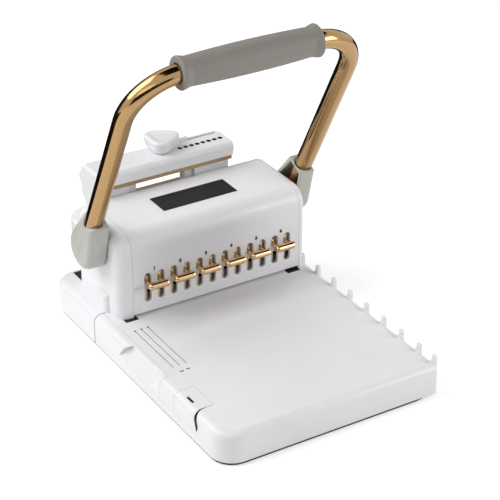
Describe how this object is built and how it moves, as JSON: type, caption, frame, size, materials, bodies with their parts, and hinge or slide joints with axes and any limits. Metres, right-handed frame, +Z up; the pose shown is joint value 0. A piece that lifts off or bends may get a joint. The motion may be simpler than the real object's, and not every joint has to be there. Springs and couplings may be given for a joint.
{
  "type": "wire binding machine",
  "caption": "Desk machine for wire binding: lever punch with pull-out pins, paper tray with page hooks, chip drawer and edge guide, and a wire closer behind.",
  "frame": {"origin": "centre of the bounding box on the surface that the feet stand on", "axes": "+Z up, +Y from the paper tray to the wire closer, +X along the slots from the drawer side to the hook side"},
  "size_m": [0.2254, 0.309, 0.2904],
  "materials": {
    "white_shell": "satin moulded",
    "grey_floor": "matte",
    "black_rubber": "matte",
    "black_steel": "satin black",
    "black_plate": "satin",
    "steel": "ground",
    "bush_brass": "turned",
    "gold_plated": "polished gold plating on steel",
    "key_brass": "polished",
    "grip_rubber": "matte",
    "warm_grey_plastic": "matte"
  },
  "bodies": {
    "machine": {"front_base": "white_shell", "rear_base": "white_shell", "head_cover": "white_shell", "front_strip": "white_shell", "head_end_left": "white_shell", "head_end_right": "white_shell", "closer_frame": "white_shell", "closer_cover": "white_shell", "closer_end_cap": "white_shell", "hook_strip": "white_shell", "front_floor": "grey_floor", "rear_floor": "grey_floor", "rubber_feet": "black_rubber", "deck_plate": "black_steel", "top_plaque": "black_plate", "paper_backstop": "steel", "punch_guide_plate": "steel", "side_frame_left": "steel", "side_frame_right": "steel", "tie_rods": "steel", "shaft_bushes": "bush_brass", "guide_posts": "steel", "lower_jaw": "gold_plated", "upper_jaw": "gold_plated", "frame_screws": "steel", "floor_screws": "steel", "return_springs": "steel"},
    "handle": {"handle_tube": "gold_plated", "grip": "grip_rubber", "hub_cup_left": "warm_grey_plastic", "hub_cup_right": "warm_grey_plastic", "cross_shaft": "steel", "shaft_rings": "steel", "cams": "steel"},
    "carriage": {"pressure_bar": "steel", "punch_pins": "steel", "press_arm_left": "steel", "press_arm_right": "steel", "press_bar": "gold_plated"},
    "size_stop": {"size_stop": "white_shell"},
    "size_knob": {"size_knob": "white_shell"},
    "edge_guide": {"edge_guide": "white_shell"},
    "chip_drawer": {"chip_drawer": "white_shell"},
    "pull_key_1": {"pull_key_1": "key_brass"},
    "pull_key_2": {"pull_key_2": "key_brass"},
    "pull_key_3": {"pull_key_3": "key_brass"},
    "pull_key_4": {"pull_key_4": "key_brass"},
    "pull_key_5": {"pull_key_5": "key_brass"},
    "pull_key_6": {"pull_key_6": "key_brass"}
  },
  "joints": [
    {"name": "handle_turn", "type": "hinge", "parent": "machine", "child": "handle", "pos_m": [0, 0.077, 0.0893], "axis": [1, 0, 0], "range_deg": [0, 62], "stiffness_Nm_per_rad": 0.7, "springref_deg": -68.75},
    {"name": "carriage_slide", "type": "slide", "parent": "machine", "child": "carriage", "axis": [0, 0, -1], "range_m": [0, 0.012]},
    {"name": "size_stop_slide", "type": "slide", "parent": "machine", "child": "size_stop", "axis": [1, 0, 0], "range_m": [0, 0.029]},
    {"name": "size_knob_turn", "type": "hinge", "parent": "size_stop", "child": "size_knob", "pos_m": [0.0036, 0.138, 0.1317], "axis": [0, 0, 1], "range_deg": [0, 90]},
    {"name": "edge_guide_slide", "type": "slide", "parent": "machine", "child": "edge_guide", "axis": [-1, 0, 0], "range_m": [0, 0.06]},
    {"name": "chip_drawer_slide", "type": "slide", "parent": "machine", "child": "chip_drawer", "axis": [-1, 0, 0], "range_m": [0, 0.15]},
    {"name": "pull_key_1_pull", "type": "slide", "parent": "carriage", "child": "pull_key_1", "axis": [0, -1, 0], "range_m": [0, 0.009]},
    {"name": "pull_key_2_pull", "type": "slide", "parent": "carriage", "child": "pull_key_2", "axis": [0, -1, 0], "range_m": [0, 0.009]},
    {"name": "pull_key_3_pull", "type": "slide", "parent": "carriage", "child": "pull_key_3", "axis": [0, -1, 0], "range_m": [0, 0.009]},
    {"name": "pull_key_4_pull", "type": "slide", "parent": "carriage", "child": "pull_key_4", "axis": [0, -1, 0], "range_m": [0, 0.009]},
    {"name": "pull_key_5_pull", "type": "slide", "parent": "carriage", "child": "pull_key_5", "axis": [0, -1, 0], "range_m": [0, 0.009]},
    {"name": "pull_key_6_pull", "type": "slide", "parent": "carriage", "child": "pull_key_6", "axis": [0, -1, 0], "range_m": [0, 0.009]}
  ],
  "couplings": [
    {"joint": "carriage_slide", "follows": "handle_turn", "m_per_rad": 0.011089}
  ]
}
